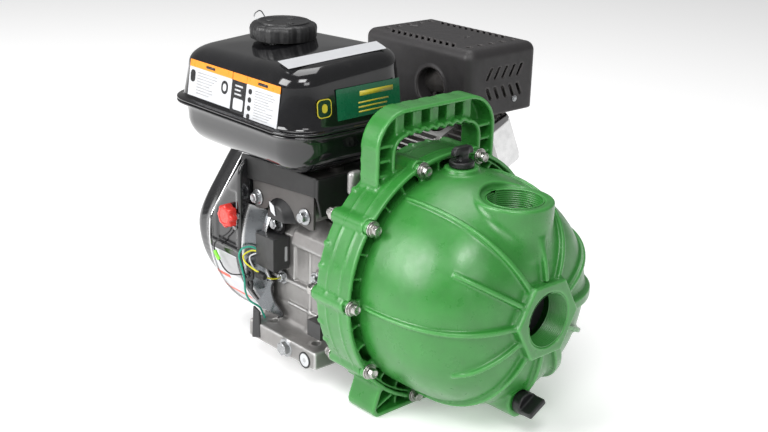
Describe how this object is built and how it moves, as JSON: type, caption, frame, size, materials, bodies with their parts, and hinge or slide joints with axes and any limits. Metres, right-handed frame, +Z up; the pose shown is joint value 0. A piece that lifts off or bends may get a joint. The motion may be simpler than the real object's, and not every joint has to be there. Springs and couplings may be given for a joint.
{
  "type": "portable engine-driven pump",
  "caption": "Portable self-priming centrifugal pump in moulded plastic, with threaded suction and discharge ports, driven by a small horizontal-shaft petrol engine with recoil start.",
  "frame": {"origin": "on the shared pump and engine shaft axis, at the middle of the suction port's thread", "axes": "+Z up through the discharge port, -Y out of the suction port, +Y towards the recoil starter, +X towards the cylinder head and exhaust"},
  "size_m": [0.368, 0.462, 0.379],
  "materials": {
    "green_poly": "moulded glass-filled polypropylene, satin",
    "dark_poly": "moulded dark polypropylene",
    "black_plastic": "satin black moulding",
    "tank_paint": "gloss black paint",
    "shroud_paint": "gloss black paint",
    "guard_paint": "matte charcoal heat-resistant paint",
    "cast_aluminium": "as-cast, fine grained",
    "machined_aluminium": "machined",
    "bright_steel": "bright pressed steel",
    "zinc_steel": "zinc plated",
    "stainless": "stainless fastener",
    "forged_steel": "ground and forged steel",
    "cast_iron": "cast",
    "muffler_steel": "heat-stained steel",
    "bracket_steel": "satin grey",
    "seal_rubber": "matt elastomer",
    "ceramic": "sintered ceramic",
    "carbon": "carbon graphite",
    "red_knob": "gloss red moulding",
    "strainer_plastic": "translucent moulding",
    "filter_foam": "open-cell foam and paper",
    "rope_fabric": "braided cord",
    "wire_green": "insulated wire"
  },
  "bodies": {
    "engine_frame": {"pump_casing": "green_poly", "pump_bracket": "green_poly", "casing_bolts": "stainless", "casing_washers": "stainless", "casing_nuts": "stainless", "casing_seal": "seal_rubber", "volute": "dark_poly", "seal_seat": "ceramic", "flap_pin": "stainless", "bracket_bolts": "stainless", "crankcase": "cast_aluminium", "crankcase_cover": "cast_aluminium", "crank_bearings": "forged_steel", "cylinder_head": "cast_aluminium", "valve_cover": "bright_steel", "valve_cover_bolts": "zinc_steel", "spark_plug": "ceramic", "fan_shroud": "shroud_paint", "recoil_cover": "shroud_paint", "recoil_spring": "forged_steel", "fan_side_plate": "zinc_steel", "oil_sensor_box": "black_plastic", "oil_drain_bolt": "zinc_steel", "tank_shell": "tank_paint", "tank_pan": "tank_paint", "fuel_strainer": "strainer_plastic", "tank_bracket": "bracket_steel", "tank_bolts": "zinc_steel", "carburetor": "machined_aluminium", "air_cleaner_base": "black_plastic", "air_filter": "filter_foam", "muffler": "muffler_steel", "muffler_guard": "guard_paint", "wiring": "wire_green", "crankcase_gasket": "seal_rubber"},
    "rotor": {"crankshaft": "forged_steel", "impeller": "dark_poly", "seal_rotor": "carbon", "seal_spring": "stainless", "flywheel": "cast_iron", "cooling_fan": "black_plastic", "starter_cup": "zinc_steel"},
    "cam": {"camshaft": "forged_steel"},
    "piston_group": {"piston": "machined_aluminium", "wrist_pin": "forged_steel"},
    "flap": {"flap_valve": "seal_rubber"},
    "priming_cap": {"priming_plug": "black_plastic"},
    "drain_cap": {"drain_plug": "black_plastic"},
    "fuel_filler_cap": {"fuel_cap": "black_plastic"},
    "oil_dipstick": {"oil_filler_cap": "black_plastic"},
    "reel": {"recoil_reel": "black_plastic"},
    "pull_grip": {"starter_grip": "black_plastic", "starter_rope": "rope_fabric"},
    "switch_knob": {"engine_switch": "red_knob"},
    "choke": {"choke_lever": "black_plastic"},
    "throttle": {"throttle_lever": "zinc_steel"},
    "fuel_valve": {"fuel_valve_lever": "black_plastic"},
    "filter_knob": {"air_cleaner_knob": "black_plastic"},
    "filter_cover": {"air_cleaner_cover": "black_plastic"},
    "plug_cap": {"spark_plug_cap": "seal_rubber"}
  },
  "joints": [
    {"name": "shaft_spin", "type": "hinge", "parent": "engine_frame", "child": "rotor", "pos_m": [0, 0.219, 0], "axis": [0, 1, 0], "continuous": true},
    {"name": "camshaft_spin", "type": "hinge", "parent": "engine_frame", "child": "cam", "pos_m": [-0.02859, 0.219, -0.04403], "axis": [0, 1, 0], "continuous": true},
    {"name": "piston_stroke", "type": "slide", "parent": "engine_frame", "child": "piston_group", "axis": [-0.9063, 0, -0.4226], "range_m": [0, 0.054]},
    {"name": "flap_swing", "type": "hinge", "parent": "engine_frame", "child": "flap", "pos_m": [0, 0.026, 0.036], "axis": [1, 0, 0], "range_deg": [0, 50]},
    {"name": "priming_plug_lift", "type": "slide", "parent": "engine_frame", "child": "priming_cap", "axis": [0, 0, 1], "range_m": [0, 0.05]},
    {"name": "drain_plug_pull", "type": "slide", "parent": "engine_frame", "child": "drain_cap", "axis": [0, -1, 0], "range_m": [0, 0.04]},
    {"name": "fuel_cap_lift", "type": "slide", "parent": "engine_frame", "child": "fuel_filler_cap", "axis": [0, 0, 1], "range_m": [0, 0.05]},
    {"name": "dipstick_pull", "type": "slide", "parent": "engine_frame", "child": "oil_dipstick", "axis": [-1, 0, 0], "range_m": [0, 0.045]},
    {"name": "reel_turn", "type": "hinge", "parent": "engine_frame", "child": "reel", "pos_m": [0, 0.409, 0], "axis": [0, 1, 0], "range_deg": [0, 700]},
    {"name": "grip_pull", "type": "slide", "parent": "engine_frame", "child": "pull_grip", "axis": [0.4226, 0, 0.9063], "range_m": [0, 0.6]},
    {"name": "switch_turn", "type": "hinge", "parent": "engine_frame", "child": "switch_knob", "pos_m": [-0.126, 0.349, 0.033], "axis": [-1, 0, 0], "range_deg": [0, 90]},
    {"name": "choke_swing", "type": "hinge", "parent": "engine_frame", "child": "choke", "pos_m": [0.141, 0.377, 0.09], "axis": [0, 0, 1], "range_deg": [-35, 0]},
    {"name": "throttle_swing", "type": "hinge", "parent": "engine_frame", "child": "throttle", "pos_m": [0.141, 0.342, 0.09], "axis": [0, 0, 1], "range_deg": [-20, 0]},
    {"name": "fuel_valve_turn", "type": "hinge", "parent": "engine_frame", "child": "fuel_valve", "pos_m": [0.16, 0.358, 0.038], "axis": [1, 0, 0], "range_deg": [0, 60]},
    {"name": "filter_knob_pull", "type": "slide", "parent": "filter_cover", "child": "filter_knob", "axis": [0, 1, 0], "range_m": [0, 0.03]},
    {"name": "filter_cover_pull", "type": "slide", "parent": "engine_frame", "child": "filter_cover", "axis": [0, 1, 0], "range_m": [0, 0.06]},
    {"name": "plug_cap_pull", "type": "slide", "parent": "engine_frame", "child": "plug_cap", "axis": [0.4226, 0, -0.9063], "range_m": [0, 0.035]}
  ],
  "couplings": [
    {"joint": "camshaft_spin", "follows": "shaft_spin", "ratio": -0.5},
    {"joint": "grip_pull", "follows": "reel_turn", "m_per_rad": 0.046}
  ]
}
